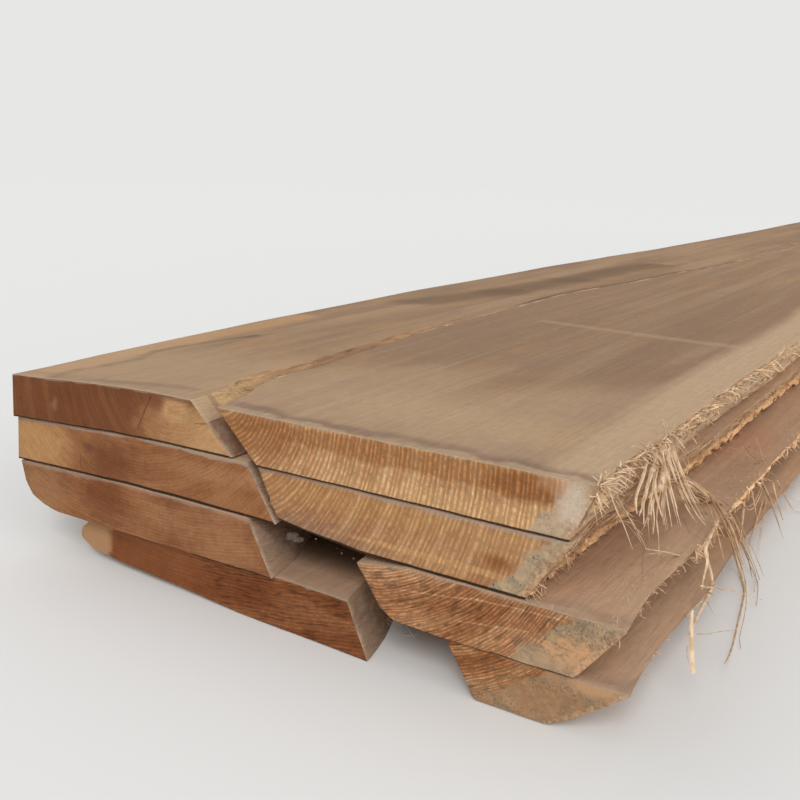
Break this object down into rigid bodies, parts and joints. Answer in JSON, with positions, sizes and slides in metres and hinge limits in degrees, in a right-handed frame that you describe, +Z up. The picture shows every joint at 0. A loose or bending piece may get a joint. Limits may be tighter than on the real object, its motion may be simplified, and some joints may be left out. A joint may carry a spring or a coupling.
{
  "type": "stack of lumber",
  "caption": "Stack of live-edge sawn hardwood boards in side-by-side columns with nested bark edges, ends flush, lying flat; stringy bast hangs from one long side.",
  "frame": {"origin": "bottom centre of the stack, on the floor it lies on", "axes": "+Y along the boards, away from their near ends; +Z up; +X across the stack, towards the side with the open bark edges"},
  "size_m": [0.5887, 4.0292, 0.156],
  "materials": {
    "sawn_wood": "rough sawn"
  },
  "bodies": {
    "root": {"left_bottom_board": "sawn_wood", "left_lower_board": "sawn_wood", "left_upper_board": "sawn_wood", "left_top_board": "sawn_wood", "right_bottom_board": "sawn_wood", "right_lower_board": "sawn_wood", "right_upper_board": "sawn_wood", "right_top_board": "sawn_wood"}
  },
  "joints": []
}
